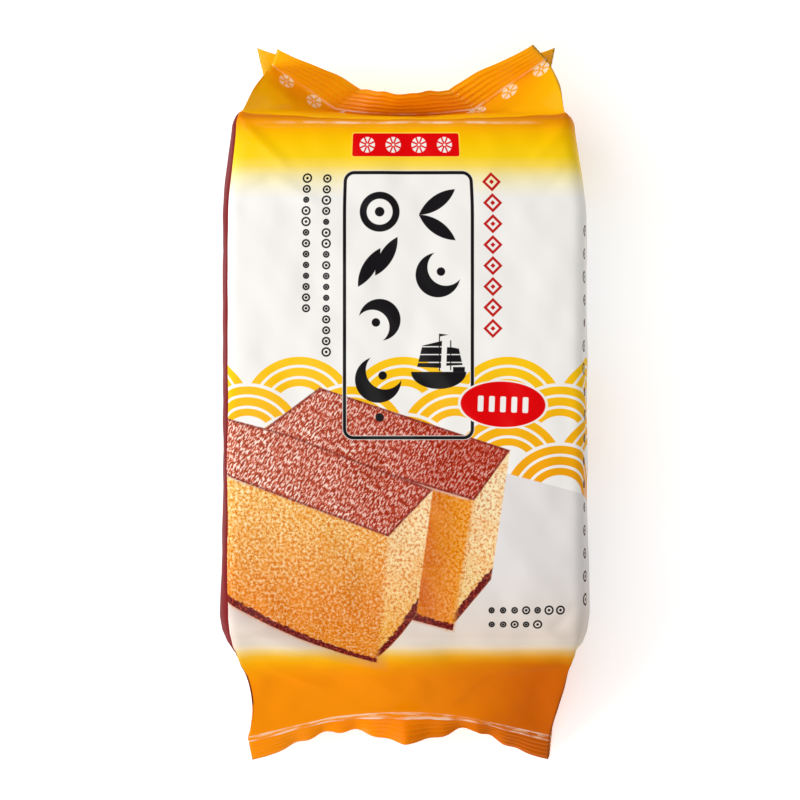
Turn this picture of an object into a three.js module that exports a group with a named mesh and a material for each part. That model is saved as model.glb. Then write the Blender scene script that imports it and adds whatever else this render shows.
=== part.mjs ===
// A sealed film pack of sliced sponge cake, lying on its back.
// The film is a tube round a block of slices. At both ends the side panels are
// tucked in as gussets, and the front and back films are crimped into a ribbon.
// Millimetres, +Z up, +Y towards the eared end, origin under the pack's middle.
import * as THREE from "three";

// Driving dimensions
const PANEL_WIDTH = 95; // front and back panels of the film
const THICKNESS = 54; // side panels of the film, and the height of the block
const BLOCK_LENGTH = 142; // from the eared end's crease to the other end's
const SEAL_WIDTH = 10.5; // crimped ribbon, from its inner line to its cut edge
const LAYER = 1; // two films and the air between them
const SIDE_BULGE = 3.2; // side panels, outwards at mid height
const FRONT_CROWN = 1.2; // fall of the front panel towards its long edges
const EDGE_SOFTNESS = 2.2; // half width of the rounding along the long edges

// The tube's own coordinates: u runs round it, v along it.
const HALF = PANEL_WIDTH / 2;
const GUSSET = THICKNESS / 2; // depth of the tuck
const JOINED = HALF - GUSSET; // half width of the stretch sealed front to back
const ROUND = 2 * (PANEL_WIDTH + THICKNESS);

// Steps of the mesh
const EAR_STEPS = 5;
const CENTRE_STEPS = 6;
const BODY_STEPS = 18;
const END_STEPS = 8;
const SEAL_STEPS = 2;
const SOFT_TAPS = [-1, -0.5, 0, 0.5, 1];

const vec = (x, y, z) => new THREE.Vector3(x, y, z);
const mix = (a, b, t) => a.clone().lerp(b, t);
const { clamp, lerp, smoothstep, degToRad } = THREE.MathUtils;

// Each end is described looking outwards along +Y, from the block's edge at y = 0.
// front and back are the films' places at the seal's inner line; x is measured
// outwards from the middle, and the same on the left and on the right.
const earedEnd = {
  film: 30, // film from the block's edge to the seal's inner line
  blockEdge: 76,
  edgeDip: 2, // how far the corners stand out past the crease's middle
  cornerX: 43.5,
  creaseSoftness: 1.2,
  middle: { y: 5, z: 24, tilt: 62 }, // inner line at the middle, ribbon's lean
  joint: { y: 6.5, z: 24, tilt: 24 }, // where the ribbon parts in two
  frontTip: vec(35.5, 18.5, 33),
  frontLean: vec(-0.05, 0.18, 0.98),
  backTip: vec(39.5, 15, 26),
  backLean: vec(0.14, 0.72, 0.68),
  neck: vec(1, 0, 1.5),
};
const slopingEnd = {
  film: 44,
  blockEdge: 66,
  edgeDip: 0,
  cornerX: 46.8,
  creaseSoftness: 8,
  middle: { y: 21, z: 19, tilt: -20 },
  joint: { y: 22.5, z: 18, tilt: -40 },
  frontTip: vec(44, 28.5, 19),
  frontLean: vec(-0.05, 0.75, -0.65),
  backTip: vec(44, 27.5, 14),
  backLean: vec(-0.05, 0.8, -0.6),
  neck: vec(-3.5, 0, 0),
};

// A corner of the block at one end, on the front (top) or the back (bottom).
function corner(end, front) {
  return vec(end.cornerX, end.edgeDip, front ? THICKNESS - FRONT_CROWN : 0);
}

// Where the ribbon parts in two, on the seal's inner line.
function jointPlace(end) {
  return vec(JOINED, end.joint.y, end.joint.z);
}

// Outward direction of a film at its ear, used to lay the inner layer behind it.
function earNormal(end, front) {
  const joint = jointPlace(end);
  const at = corner(end, front);
  const tip = front ? end.frontTip : end.backTip;
  const normal = tip.clone().sub(at).cross(joint.clone().sub(at)).normalize();
  return front === normal.z > 0 ? normal : normal.negate();
}

// How far the ribbon leans at a place out from the middle, as a direction.
function jointLean(end, across) {
  const part = Math.min(across / JOINED, 1) ** 2;
  const tilt = degToRad(lerp(end.middle.tilt, end.joint.tilt, part));
  return vec(0, Math.cos(tilt), Math.sin(tilt));
}

// Half of the ribbon's thickness, square to it, towards the front or the back.
function layerShift(lean, front) {
  return vec(0, -lean.z, lean.y).multiplyScalar(front ? LAYER / 2 : -LAYER / 2);
}

// The outer film of the front or back panel at an end, x outwards from the middle.
function endFilm(end, front, across, along) {
  if (along > end.film) {
    return ribbon(end, front, across, (along - end.film) / SEAL_WIDTH);
  }
  const place = clamp(along / end.film, 0, 1);
  const joint = jointPlace(end);
  const at = corner(end, front);
  const edgeOfFlap = HALF - GUSSET * place;
  const spread = layerShift(jointLean(end, across), front).multiplyScalar(place ** 2);
  if (across <= edgeOfFlap) {
    const share = across / edgeOfFlap;
    const height = lerp(front ? THICKNESS : 0, end.middle.z, place);
    const middle = vec(0, end.middle.y * place, height);
    const width = lerp(end.cornerX, JOINED, place);
    return mix(middle, mix(at, joint, place), share ** 2)
      .setX(share * width)
      .add(spread);
  }
  const share = (across - edgeOfFlap) / Math.max(GUSSET * place, 1e-6);
  const tip = front ? end.frontTip : end.backTip;
  const bend = 4 * place * (1 - place);
  const fold = mix(at, tip, place).addScaledVector(end.neck, bend);
  return mix(mix(at, joint, place), fold, share).addScaledVector(spread, 1 - share);
}

// The crimped ribbon beyond the seal's inner line: share 0 at that line, 1 at the cut edge.
function ribbon(end, front, across, share) {
  const out = SEAL_WIDTH * share;
  const lean = jointLean(end, across);
  const joint = jointPlace(end);
  if (across <= JOINED) {
    const part = (across / JOINED) ** 2;
    return mix(vec(0, end.middle.y, end.middle.z), joint, part)
      .setX(across)
      .addScaledVector(lean, out)
      .add(layerShift(lean, front));
  }
  const part = (across - JOINED) / GUSSET;
  const tip = front ? end.frontTip : end.backTip;
  const tipLean = front ? end.frontLean : end.backLean;
  const turned = mix(lean, tipLean, smoothstep(part, 0, 0.4)).normalize();
  return mix(joint, tip, part)
    .addScaledVector(turned, out)
    .addScaledVector(layerShift(lean, front), 1 - part);
}

// The side panel at an end: down counts from the front's long edge to the back's.
function endSide(end, down, along) {
  const place = clamp(along / end.film, 0, 1);
  const front = down <= GUSSET;
  const fromEdge = front ? down : THICKNESS - down;
  const tuck = GUSSET * place;
  if (fromEdge <= tuck) {
    const across = HALF - fromEdge;
    const behind = earNormal(end, front).multiplyScalar(
      -LAYER * Math.min(1, fromEdge / 3),
    );
    return endFilm(end, front, across, along).add(behind);
  }
  const upper = mix(corner(end, true), jointPlace(end), place);
  const lower = mix(corner(end, false), jointPlace(end), place);
  const share = (down - tuck) / Math.max(THICKNESS - 2 * tuck, 1e-6);
  const bulge = SIDE_BULGE * Math.sin(Math.PI * share) * (1 - place) ** 2;
  return mix(upper, lower, share).add(vec(bulge, 0, 0));
}

// Half width of the block's front at a place between its two ends.
function halfWidth(y) {
  const top = smoothstep(y, earedEnd.blockEdge - 24, earedEnd.blockEdge);
  const low = smoothstep(-y, slopingEnd.blockEdge - 20, slopingEnd.blockEdge);
  return HALF + top * (earedEnd.cornerX - HALF) + low * (slopingEnd.cornerX - HALF);
}

// The sharp shape of the tube between the ends. panel is front, side or back.
function bodyPoint(panel, at, y) {
  const half = halfWidth(y);
  if (panel === "side") {
    const share = at / THICKNESS;
    const height = lerp(THICKNESS - FRONT_CROWN, 0, share);
    return vec(half + SIDE_BULGE * Math.sin(Math.PI * share), y, height);
  }
  const share = at / HALF;
  const height = panel === "front" ? THICKNESS - FRONT_CROWN * share ** 4 : 0;
  return vec(share * half, y, height);
}

// Which panel a place round the tube is on, and how far out or down it is there.
function panelOf(u) {
  const round = ((u % ROUND) + ROUND) % ROUND;
  if (round <= PANEL_WIDTH) {
    return ["front", Math.abs(round - HALF), Math.sign(round - HALF)];
  }
  if (round < PANEL_WIDTH + THICKNESS) return ["side", round - PANEL_WIDTH, 1];
  if (round <= 2 * PANEL_WIDTH + THICKNESS) {
    const x = PANEL_WIDTH + THICKNESS + HALF - round;
    return ["back", Math.abs(x), Math.sign(x)];
  }
  return ["side", ROUND - round, -1];
}

// The tube with sharp edges. v is 0 at the middle of the block's length.
function sharpPoint(u, v) {
  const [panel, at, sign] = panelOf(u);
  const half = BLOCK_LENGTH / 2;
  const middle = (earedEnd.blockEdge - slopingEnd.blockEdge) / 2;
  let point;
  if (Math.abs(v) <= half) {
    point = bodyPoint(panel, at, middle + v);
  } else {
    const end = v > 0 ? earedEnd : slopingEnd;
    const along = Math.abs(v) - half;
    point =
      panel === "side"
        ? endSide(end, at, along)
        : endFilm(end, panel === "front", at, along);
    point.y = Math.sign(v) * (end.blockEdge + point.y);
  }
  point.x *= sign || 1;
  return point;
}

// How soft the edges across u and v are: crisp at the seals, rounder on the body.
function softness(v) {
  const end = v > 0 ? earedEnd : slopingEnd;
  const past = Math.abs(v) - BLOCK_LENGTH / 2;
  const body = 1 - smoothstep(past, 0, end.film * 0.6);
  const seal = clamp((end.film - past) / end.creaseSoftness, 0, 1);
  return [lerp(0.3, EDGE_SOFTNESS, body), end.creaseSoftness * seal];
}

function filmPoint(u, v) {
  const [softU, softV] = softness(v);
  const sum = vec(0, 0, 0);
  for (const du of SOFT_TAPS) {
    for (const dv of SOFT_TAPS) sum.add(sharpPoint(u + du * softU, v + dv * softV));
  }
  return sum.divideScalar(SOFT_TAPS.length ** 2);
}

// Places from one value to another in equal steps, without the last.
function steps(from, to, count) {
  return Array.from({ length: count }, (_, i) => lerp(from, to, i / count));
}

// Round the tube: each panel starts at its first long edge.
function columns() {
  const panel = (start) => [
    ...steps(start, start + GUSSET, EAR_STEPS),
    ...steps(start + GUSSET, start + PANEL_WIDTH - GUSSET, CENTRE_STEPS),
    ...steps(start + PANEL_WIDTH - GUSSET, start + PANEL_WIDTH, EAR_STEPS),
  ];
  const side = (start) => steps(start, start + THICKNESS, 2 * EAR_STEPS);
  return [
    ...panel(0),
    ...side(PANEL_WIDTH),
    ...panel(PANEL_WIDTH + THICKNESS),
    ...side(2 * PANEL_WIDTH + THICKNESS),
  ];
}

// Along the tube, from the sloping end's cut edge to the eared end's.
function rows() {
  const half = BLOCK_LENGTH / 2;
  const low = -half - slopingEnd.film;
  const high = half + earedEnd.film;
  return [
    ...steps(low - SEAL_WIDTH, low, SEAL_STEPS),
    ...steps(low, -half, END_STEPS),
    ...steps(-half, half, BODY_STEPS),
    ...steps(half, high, END_STEPS),
    ...steps(high, high + SEAL_WIDTH, SEAL_STEPS),
    high + SEAL_WIDTH,
  ];
}

// Pairs of columns that lie on each other at a cut edge: front on gusset, front
// on back, and gusset on back, as strips of [outer, inner] columns.
function sealStrips() {
  const panelColumns = 2 * EAR_STEPS + CENTRE_STEPS;
  const right = panelColumns; // front's right long edge
  const backStart = right + 2 * EAR_STEPS;
  const left = backStart + panelColumns; // back's left long edge
  const total = left + 2 * EAR_STEPS;
  const strip = (count, outer, inner) =>
    Array.from({ length: count + 1 }, (_, i) => [outer(i), inner(i)]);
  return [
    strip(EAR_STEPS, (i) => i, (i) => (total - i) % total),
    strip(CENTRE_STEPS, (i) => EAR_STEPS + i, (i) => left - EAR_STEPS - i),
    strip(EAR_STEPS, (i) => right - EAR_STEPS + i, (i) => right + EAR_STEPS - i),
    strip(EAR_STEPS, (i) => backStart - EAR_STEPS + i, (i) => backStart + EAR_STEPS - i),
    strip(EAR_STEPS, (i) => left - EAR_STEPS + i, (i) => left + EAR_STEPS - i),
  ];
}

// Triangles over one row's cut edge; flip turns them to face the other way.
function capFaces(offset, flip) {
  const faces = [];
  const add = (a, b, c) => {
    if (a === b || b === c || a === c) return;
    const corners = flip ? [a, c, b] : [a, b, c];
    faces.push(...corners.map((i) => i + offset));
  };
  const strips = sealStrips();
  for (const strip of strips) {
    for (let i = 0; i + 1 < strip.length; i++) {
      const [outer, inner] = strip[i];
      const [nextOuter, nextInner] = strip[i + 1];
      add(outer, inner, nextInner);
      add(outer, nextInner, nextOuter);
    }
  }
  // Where the ribbon parts in two, a triangle joins the three films.
  const [frontLeft, joined, frontRight] = strips;
  add(frontLeft.at(-1)[0], frontLeft.at(-1)[1], joined[0][1]);
  add(frontRight[0][0], joined.at(-1)[1], frontRight[0][1]);
  return faces;
}

function packGeometry() {
  const around = columns();
  const along = rows();
  const points = along.flatMap((v) => around.map((u) => filmPoint(u, v)));
  const faces = [];
  for (let row = 0; row + 1 < along.length; row++) {
    for (let i = 0; i < around.length; i++) {
      const next = (i + 1) % around.length;
      const a = row * around.length;
      const b = a + around.length;
      faces.push(a + i, a + next, b + next, a + i, b + next, b + i);
    }
  }
  faces.push(...capFaces(0, false));
  faces.push(...capFaces((along.length - 1) * around.length, true));
  const box = new THREE.Box3().setFromPoints(points);
  const middle = box.getCenter(vec(0, 0, 0));
  const geometry = new THREE.BufferGeometry();
  const places = points.flatMap((p) => [p.x - middle.x, p.y - middle.y, p.z - box.min.z]);
  geometry.setAttribute("position", new THREE.Float32BufferAttribute(places, 3));
  geometry.setIndex(faces);
  geometry.computeVertexNormals();
  return geometry;
}

const film = new THREE.MeshStandardMaterial({
  color: 0xf2a516,
  roughness: 0.3,
  metalness: 0,
});

const pack = new THREE.Mesh(packGeometry(), film);
pack.name = "cake_pack";

const part = new THREE.Group();
part.add(pack);

export default part;
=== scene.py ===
"""A sealed, printed film pack of sliced sponge cake: the film, its print and the stage."""

import functools
import math

import bmesh
import bpy
import numpy as np
from bpy.props import FloatProperty, FloatVectorProperty, PointerProperty
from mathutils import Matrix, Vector


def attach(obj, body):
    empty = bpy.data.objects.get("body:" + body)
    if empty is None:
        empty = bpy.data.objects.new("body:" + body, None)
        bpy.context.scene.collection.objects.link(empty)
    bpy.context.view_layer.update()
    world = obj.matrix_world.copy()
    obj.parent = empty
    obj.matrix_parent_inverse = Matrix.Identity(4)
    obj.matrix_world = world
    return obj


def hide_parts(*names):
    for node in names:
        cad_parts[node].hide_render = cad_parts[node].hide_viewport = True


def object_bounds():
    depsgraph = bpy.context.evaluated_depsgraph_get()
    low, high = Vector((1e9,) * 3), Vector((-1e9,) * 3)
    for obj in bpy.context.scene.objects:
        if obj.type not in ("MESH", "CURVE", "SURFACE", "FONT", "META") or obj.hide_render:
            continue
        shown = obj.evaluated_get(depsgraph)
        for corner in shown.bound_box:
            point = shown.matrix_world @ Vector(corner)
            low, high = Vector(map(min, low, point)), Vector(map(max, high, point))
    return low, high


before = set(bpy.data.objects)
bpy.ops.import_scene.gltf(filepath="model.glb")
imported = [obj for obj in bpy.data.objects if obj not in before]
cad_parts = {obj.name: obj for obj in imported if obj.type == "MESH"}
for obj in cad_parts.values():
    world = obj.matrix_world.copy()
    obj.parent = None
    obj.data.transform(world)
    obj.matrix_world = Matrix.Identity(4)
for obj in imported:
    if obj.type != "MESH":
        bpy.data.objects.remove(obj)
cad_low, cad_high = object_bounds()

bl_info = {
    "name": "Cake pack",
    "version": (1, 0, 0),
    "blender": (4, 5, 0),
    "location": "View3D > Sidebar > Cake pack",
    "description": "A gusseted film pack with crimped ends and a printed front panel",
    "category": "Object",
}

MM = 0.001
FILM_MAP = "OFBake"  # the film's UV map
MAP_SIZE = (300.0, 240.0)  # millimetres of film that the map's unit square holds
MAP_START = (-1.0, -127.0)  # u, v at the map's lower left corner
FRONT_MIDDLE = 47.5  # u at the middle of the front panel


# ---------------------------------------------------------------- settings


def millimetres(name, description, default, low=0.0, high=400.0):
    return FloatProperty(name=name, description=description, default=default, min=low, max=high)


def colour(name, description, default):
    return FloatVectorProperty(
        name=name, description=description, default=default, size=3, min=0, max=1, subtype="COLOR"
    )


def srgb(*levels):
    """A colour given in screen levels of 0 to 255, in the linear scale that shaders mix in."""
    parts = (level / 255 for level in levels)
    return tuple(p / 12.92 if p <= 0.04045 else ((p + 0.055) / 1.055) ** 2.4 for p in parts)


class PackShape(bpy.types.PropertyGroup):
    """Sizes of the film and of the block that it wraps, in millimetres."""

    panel_width: millimetres("Panel width", "Front and back panels of the film", 95)
    thickness: millimetres("Thickness", "Side panels of the film", 54)
    block_length: millimetres("Block length", "From one end's edge to the other's", 142)
    seal_width: millimetres("Seal width", "Crimped ribbon at each end", 10.5)
    seal_shelf: millimetres("Seal shelf", "Plain strip inside the crimped ribs", 1.6)
    rib_pitch: millimetres("Rib pitch", "Between crimped ribs", 1.75)
    rib_depth: millimetres("Rib depth", "Half the height of a crimped rib", 0.36)
    layer: millimetres("Layer", "Two films lying on each other", 0.35)
    side_bulge: millimetres("Side bulge", "Side panels, outwards", 2.6)
    front_crown: millimetres("Front crown", "Fall of the front towards its long edges", 1.2)
    edge_softness: millimetres("Edge softness", "Rounding along the long edges", 2.2)
    step: millimetres("Step", "Distance between the film's mesh points", 1.0, 0.5, 10)


class PackPrint(bpy.types.PropertyGroup):
    """Colours and sizes of the print. Sizes are in millimetres."""

    white: colour("White", "Plain field of the front and back", srgb(245, 242, 237))
    pale_yellow: colour("Pale yellow", "Where the amber ends fade out", srgb(247, 232, 170))
    yellow: colour("Yellow", "Between the white field and the amber ends", srgb(253, 210, 24))
    amber: colour("Amber", "The eared end", srgb(254, 186, 10))
    deep_amber: colour("Deep amber", "The sloping end", srgb(252, 144, 2))
    wine: colour("Wine", "The left side panel", srgb(118, 8, 16))
    red: colour("Red", "Badge and bar", srgb(226, 4, 8))
    black: colour("Black", "Border and marks", srgb(24, 22, 24))
    table: colour("Table", "Grey field round the cake", srgb(228, 223, 221))
    wave_top: colour("Wave, top", "Waves of the upper row", srgb(255, 203, 22))
    wave_low: colour("Wave, low", "Waves of the lowest row", srgb(244, 156, 14))
    crust: colour("Crust", "Top crust of the pictured cake", srgb(188, 52, 18))
    crust_shine: colour("Crust shine", "Fine wrinkles that catch light", srgb(255, 234, 220))
    crumb_pale: colour("Crumb, pale", "Upper part of the cut faces", srgb(248, 192, 92))
    crumb_deep: colour("Crumb, deep", "Lower part of the cut faces", srgb(228, 130, 4))
    crumb_cream: colour("Crumb, lit", "Cut faces that the light falls on", srgb(250, 226, 178))
    base_crust: colour("Base crust", "Thin dark crust under the cake", srgb(96, 22, 24))
    wave_radius: millimetres("Wave radius", "Outer arc of a wave", 15.2)
    wave_pitch: millimetres("Wave pitch", "Between waves of a row", 27.9)
    row_pitch: millimetres("Row pitch", "Between rows of waves", 7.93)
    flower_radius: millimetres("Flower radius", "Rosettes near the eared end", 2.9)
    flower_pitch: millimetres("Flower pitch", "Between rosettes", 12.0)


class PackStage(bpy.types.PropertyGroup):
    """Camera, floor and lights."""

    height: FloatProperty(name="Camera height", description="Above the floor", default=0.65, unit="LENGTH")
    surround: FloatProperty(name="Surround", description="Strength of the even light", default=0.27, min=0)


# ---------------------------------------------------------------- the film's shape

# Each end looks outwards along +Y from the block's edge. A pair holds the value on
# the left and on the right of the pack; x is measured outwards from the middle.
EARED_END = {
    "film": 30.0,  # film from the block's edge to the seal's inner line
    "edge": 76.0,
    "corner": ((45.0, 2.2), (44.0, 1.8)),  # x, y of the block's corners
    "crease": 0.8,  # softness across the block's edge
    "middle": (5.0, 24.0),  # y, z of the seal's inner line at the pack's middle
    "joint": ((6.5, 24.0), (6.5, 24.0)),  # the same where the ribbon parts in two
    "leans": ((0.0, 0.42, 0.92), (-0.75, 0.45, 0.35)),  # ribbon's run at the middle and the joint
    "spread": 1.1,  # power with which the lean changes from the middle to the joint
    "twist": 1.0,  # part of an ear over which the ribbon turns to its tip's lean
    "flutter": 0.04,
    "front_tip": ((37.1, 17.6, 33.0), (39.5, 18.9, 35.0)),
    "front_lean": ((-0.23, 0.3, 0.92), (-0.45, 0.27, 0.85)),
    "back_tip": ((39.5, 15.0, 26.0), (40.5, 15.0, 26.0)),
    "back_lean": ((0.14, 0.72, 0.68), (0.1, 0.72, 0.68)),
    "neck": ((0.2, 0.0, 1.2), (0.4, 0.0, 1.2)),
    "bulge": 0.0,
}
SLOPING_END = {
    "film": 44.0,
    "edge": 66.0,
    "corner": ((47.0, 0.0), (46.8, 0.0)),
    "crease": 8.0,
    "middle": (21.0, 21.0),
    "joint": ((22.5, 20.0), (23.0, 21.0)),
    "leans": ((0.0, 0.93, -0.36), (0.0, 0.46, -0.89)),
    "spread": 0.8,
    "twist": 0.9,
    "flutter": 0.16,
    "front_tip": ((45.0, 29.2, 14.0), (42.0, 29.6, 8.5)),
    "front_lean": ((-0.1, 0.72, -0.68), (-0.02, 0.75, -0.66)),
    "back_tip": ((44.0, 27.9, 10.5), (42.6, 28.6, 7.5)),
    "back_lean": ((-0.05, 0.8, -0.6), (-0.05, 0.8, -0.6)),
    "neck": ((-3.5, 0.0, 0.0), (-0.5, 0.0, 0.0)),
    "bulge": 1.6,
}


def mix(a, b, t):
    return a + (b - a) * t


def smoothstep(x, low, high):
    t = np.clip((x - low) / (high - low), 0, 1)
    return t * t * (3 - 2 * t)


def sided(pair, right):
    """One of a pair of values for each point, as rows: the second where right is true."""
    left_value, right_value = np.atleast_1d(pair[0]), np.atleast_1d(pair[1])
    return np.where(right[:, None], right_value, left_value)


def unit(rows):
    return rows / np.maximum(np.linalg.norm(rows, axis=1, keepdims=True), 1e-9)


def spread(marks, counts):
    """Evenly spaced places from mark to mark, so many in each stretch."""
    pieces = [np.linspace(*marks[i : i + 2], count, endpoint=False) for i, count in enumerate(counts)]
    return np.concatenate([*pieces, marks[-1:]])


# Crimped ribs: where the film is pinched along the seal's inner line, the strip over which
# the ribs and the second layer end at the outer edge, and how far they fade on an ear
PINCH = {"height": 0.3, "out": 0.8, "half": 0.4}
RIB_START = 0.5
RIBBON_EDGE = 0.6
EAR_RIBS = 0.65
RIB_STEP = 0.3  # between rows of mesh points on the ribs
CREASE_ROWS = 4.0  # strip of close rows before the eared end's crease


class Film:
    """The film as a tube. u runs round it from the front's left edge, v along it."""

    def __init__(self, shape):
        self.s = shape
        self.half = shape.panel_width / 2
        self.gusset = shape.thickness / 2
        self.joined = self.half - self.gusset
        self.round = 2 * (shape.panel_width + shape.thickness)
        self.middle = (EARED_END["edge"] - SLOPING_END["edge"]) / 2

    # Places on an end, one row of x, y, z for each point.

    def corner(self, end, front, right):
        x, y = sided(end["corner"], right).T
        z = np.where(front, self.s.thickness - self.s.front_crown, 0.0)
        return np.stack([x, y, z], axis=1)

    def tip(self, end, front, right):
        tips = [sided(end[key], right) for key in ("front_tip", "back_tip")]
        return np.where(front[:, None], *tips)

    def inner_line(self, end, right, across):
        part = np.clip(across / self.joined, 0, 1) ** 2
        joint = sided(end["joint"], right)
        y, z = (mix(end["middle"][i], joint[:, i], part) for i in (0, 1))
        return np.stack([np.minimum(across, self.joined), y, z], axis=1)

    def joint(self, end, right):
        return self.inner_line(end, right, np.full(len(right), self.joined))

    def lean(self, end, right, across):
        """Which way the ribbon runs outwards, with a slight flutter from place to place."""
        part = np.clip(across / self.joined, 0, 1)[:, None] ** end["spread"]
        signed = np.where(right, across, -across)
        flutter = end["flutter"] * np.sin(signed / 2.3 + 0.8) * np.cos(signed / 5.1)
        run = mix(np.array([end["leans"][0]]), np.array([end["leans"][1]]), part)
        run[:, 1] += flutter
        return unit(run)

    def layer_shift(self, lean, front):
        across = np.stack([lean[:, 0] * 0, -lean[:, 2], lean[:, 1]], axis=1)
        return unit(across) * np.where(front, self.s.layer / 2, -self.s.layer / 2)[:, None]

    def ribbon_run(self, end, front, right, across):
        """Where the ribbon starts, the way it runs and its normal on the front panel's side."""
        part = np.clip((across - self.joined) / self.gusset, 0, 1)[:, None]
        leans = [sided(end[key], right) for key in ("front_lean", "back_lean")]
        tip_lean = np.where(front[:, None], *leans)
        run = unit(mix(self.lean(end, right, across), tip_lean, smoothstep(part, 0, end["twist"])))
        joint = self.inner_line(end, right, across)
        tip = self.tip(end, front, right)
        line = np.where(part > 0, tip - joint, [[1.0, 0.0, 0.0]])
        return mix(joint, tip, part), run, unit(np.cross(line, run)), part

    def ribs(self, out):
        """Crimped ribs along the ribbon, outside a plain strip at its inner line."""
        s = self.s
        ribbed = smoothstep(out, s.seal_shelf, s.seal_shelf + RIB_START) * self.before_edge(out)
        pinch = PINCH["height"] * np.exp(-(((out - PINCH["out"]) / PINCH["half"]) ** 2))
        return pinch + s.rib_depth * ribbed * np.sin(2 * np.pi * (out - s.seal_shelf) / s.rib_pitch)

    def before_edge(self, out):
        """1 on the ribbon, and 0 at its outer edge, where the layers meet."""
        return 1 - smoothstep(out, self.s.seal_width - RIBBON_EDGE, self.s.seal_width)

    def ribbon(self, end, front, right, across, out):
        """The crimped ribbon, out millimetres beyond the seal's inner line."""
        start, run, normal, part = self.ribbon_run(end, front, right, across)
        thin = self.before_edge(out)[:, None]
        lean = self.lean(end, right, np.minimum(across, self.joined))
        shift = self.layer_shift(lean, front) * (1 - part) * thin
        ribs = self.ribs(out)[:, None] * (1 - EAR_RIBS * smoothstep(part, 0, 0.4))
        return start + run * out[:, None] + shift + normal * ribs

    def end_film(self, end, front, right, across, along):
        """The outer film of the front or back panel at an end."""
        place = np.clip(along / end["film"], 0, 1)
        col = place[:, None]
        corner = self.corner(end, front, right)
        joint = self.joint(end, right)
        flap_edge = self.half - self.gusset * place
        lean = self.lean(end, right, np.minimum(across, self.joined))
        apart = self.layer_shift(lean, front) * col**2
        # The flap over the block's end
        share = np.clip(across / flap_edge, 0, 1)
        height = mix(np.where(front, self.s.thickness, 0.0), end["middle"][1], place)
        middle = np.stack([0 * place, end["middle"][0] * place, height], axis=1)
        flap = mix(middle, mix(corner, joint, col), share[:, None] ** 2)
        flap[:, 0] = share * mix(corner[:, 0], self.joined, place)
        # The ear beside it
        out = np.clip((across - flap_edge) / np.maximum(self.gusset * place, 1e-6), 0, 1)[:, None]
        neck = sided(end["neck"], right) * (4 * col * (1 - col))
        fold = mix(corner, self.tip(end, front, right), col) + neck
        ear = mix(mix(corner, joint, col), fold, out)
        film = np.where((across <= flap_edge)[:, None], flap, ear)
        film = film + apart * np.where(across <= flap_edge, 1, 1 - out[:, 0])[:, None]
        beyond = along > end["film"]
        ribbon = self.ribbon(end, front, right, across, np.maximum(along - end["film"], 0))
        return np.where(beyond[:, None], ribbon, film)

    def ear_normal(self, end, front, right):
        joint = self.joint(end, right)
        corner = self.corner(end, front, right)
        normal = unit(np.cross(self.tip(end, front, right) - corner, joint - corner))
        return normal * np.where(front == (normal[:, 2] > 0), 1, -1)[:, None]

    def end_side(self, end, right, down, along):
        """The side panel at an end: down counts from the front's long edge."""
        s = self.s
        place = np.clip(along / end["film"], 0, 1)
        front = down <= self.gusset
        from_edge = np.where(front, down, s.thickness - down)
        tuck = self.gusset * place
        # The gusset's layer, tucked behind the front or back film of an ear
        thin = self.before_edge(along - end["film"])
        across = self.half - from_edge
        ribbon_side = self.ribbon_run(end, front, right, across)[2] * np.where(front, 1, -1)[:, None]
        turned = smoothstep(along - end["film"], -1.5, 1.5)[:, None]
        behind = unit(mix(self.ear_normal(end, front, right), ribbon_side, turned))
        behind = behind * (-s.layer * np.minimum(1, from_edge / 3) * thin)[:, None]
        ear = self.end_film(end, front, right, across, along) + behind
        # The triangle over the block's end
        joint = self.joint(end, right)
        every = np.ones(len(down), bool)
        corners = (self.corner(end, upper, right) for upper in (every, ~every))
        upper, lower = (mix(corner, joint, place[:, None]) for corner in corners)
        share = np.clip((down - tuck) / np.maximum(s.thickness - 2 * tuck, 1e-6), 0, 1)
        bulge = (s.side_bulge + end["bulge"]) * self.belly(share) * (1 - place) ** 2
        panel = mix(upper, lower, share[:, None])
        panel[:, 0] += bulge
        return np.where((from_edge <= tuck)[:, None], ear, panel)

    def belly(self, down):
        """How far a side panel stands out, fullest a little above its middle."""
        return np.sin(np.pi * down**0.75)

    def half_width(self, y, right):
        top = smoothstep(y, EARED_END["edge"] - 26, EARED_END["edge"] + 4)
        low = smoothstep(-y, SLOPING_END["edge"] - 20, SLOPING_END["edge"])
        corners = [sided(end["corner"], right)[:, 0] for end in (EARED_END, SLOPING_END)]
        return self.half + top * (corners[0] - self.half) + low * (corners[1] - self.half)

    def body(self, side, front, right, at, y):
        s = self.s
        half = self.half_width(y, right)
        down = np.clip(at / s.thickness, 0, 1)
        swell = SLOPING_END["bulge"] * smoothstep(-y, 30, SLOPING_END["edge"])
        side_x = half + (s.side_bulge + swell) * self.belly(down)
        side_z = mix(s.thickness - s.front_crown, 0.0, down)
        share = at / self.half
        flat_z = np.where(front, s.thickness - s.front_crown * share**4, 0.0)
        return np.stack(
            [np.where(side, side_x, share * half), y, np.where(side, side_z, flat_z)], axis=1
        )

    def sharp(self, u, v):
        """The tube with sharp edges. v is 0 at the middle of the block's length."""
        s = self.s
        u = np.mod(u, self.round)
        width, turn = s.panel_width, s.panel_width + s.thickness
        front = u <= width
        side = ((u > width) & (u < turn)) | (u > width + turn)
        flat_x = np.where(front, u - self.half, turn + self.half - u)
        right = np.where(side, u < turn, flat_x > 0)
        down = np.where(u < turn, u - width, self.round - u)
        at = np.where(side, down, np.abs(flat_x))
        half_length = s.block_length / 2
        places = self.body(side, front, right, at, self.middle + v)
        for end, sign in ((EARED_END, 1), (SLOPING_END, -1)):
            past = sign * v > half_length
            if not past.any():
                continue
            along = np.abs(v) - half_length
            film = self.end_film(end, front, right, at, along)
            gusset = self.end_side(end, right, at, along)
            found = np.where(side[:, None], gusset, film)
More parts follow.
